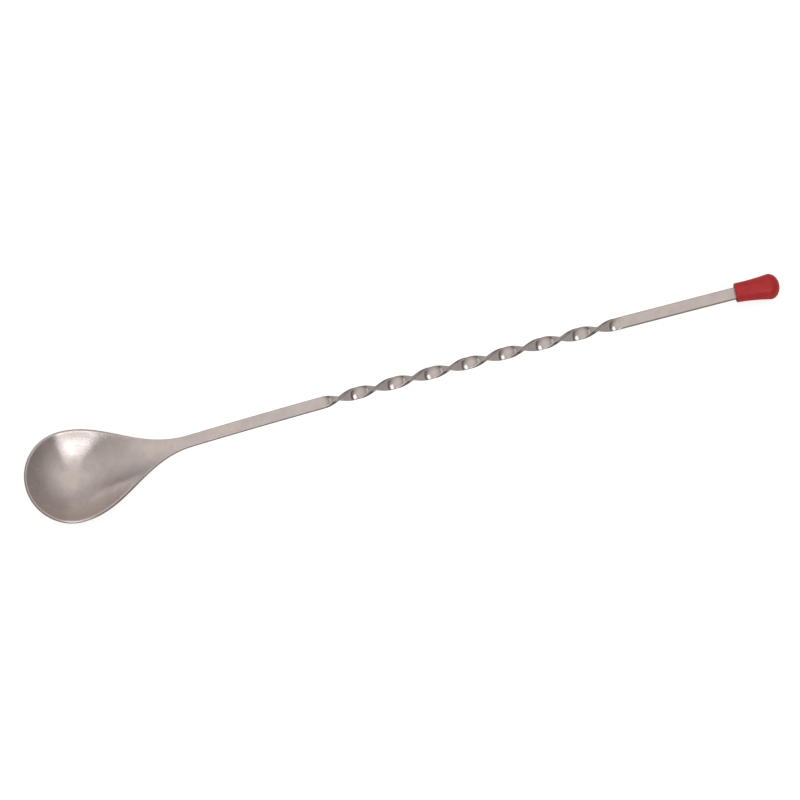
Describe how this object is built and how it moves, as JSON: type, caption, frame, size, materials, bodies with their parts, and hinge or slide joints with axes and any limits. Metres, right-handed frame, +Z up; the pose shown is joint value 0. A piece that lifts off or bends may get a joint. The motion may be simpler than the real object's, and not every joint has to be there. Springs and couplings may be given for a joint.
{
  "type": "bar spoon",
  "caption": "Long-handled mixing spoon with a round bowl, a flat steel handle twisted along its middle and a soft red bulb cap on the end.",
  "frame": {"origin": "middle of the length and width, on the surface that the spoon lies on", "axes": "+X along the length from the bowl to the cap, +Z up out of the open bowl"},
  "size_m": [0.2794, 0.0352, 0.0148],
  "materials": {
    "steel": "satin, with fine polishing lines round the bowl and along the handle",
    "red_cap": "moulded, soft satin"
  },
  "bodies": {
    "spoon": {"spoon": "steel"},
    "cap": {"end_cap": "red_cap"}
  },
  "joints": [
    {"name": "cap_pull", "type": "slide", "parent": "spoon", "child": "cap", "axis": [0.998, 0, -0.0628], "range_m": [0, 0.016]}
  ]
}
